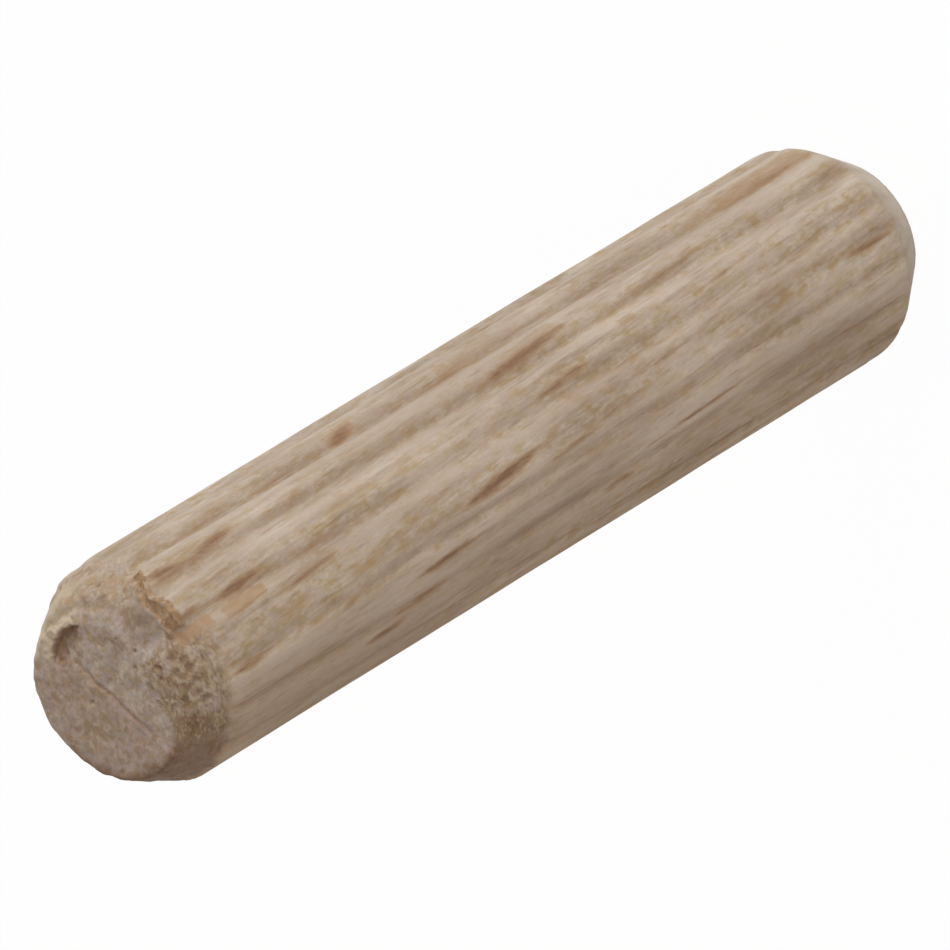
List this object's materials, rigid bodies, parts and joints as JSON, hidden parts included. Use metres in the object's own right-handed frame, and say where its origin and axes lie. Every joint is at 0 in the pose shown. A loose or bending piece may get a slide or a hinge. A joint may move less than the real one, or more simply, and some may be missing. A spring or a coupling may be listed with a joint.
{
  "type": "fluted dowel pin",
  "caption": "Fluted wooden dowel pin with a bevel at each end and one torn end, glued into drilled holes to line up and join two panels.",
  "frame": {"origin": "middle of the flat on the plain end, which the pin stands on", "axes": "+Z along the pin's axis, from the plain end to the torn end; -Y faces the wide land between two flutes, which is the front"},
  "size_m": [0.008, 0.008, 0.04],
  "materials": {
    "beech": "matte"
  },
  "bodies": {
    "root": {"dowel_pin": "beech"}
  },
  "joints": []
}
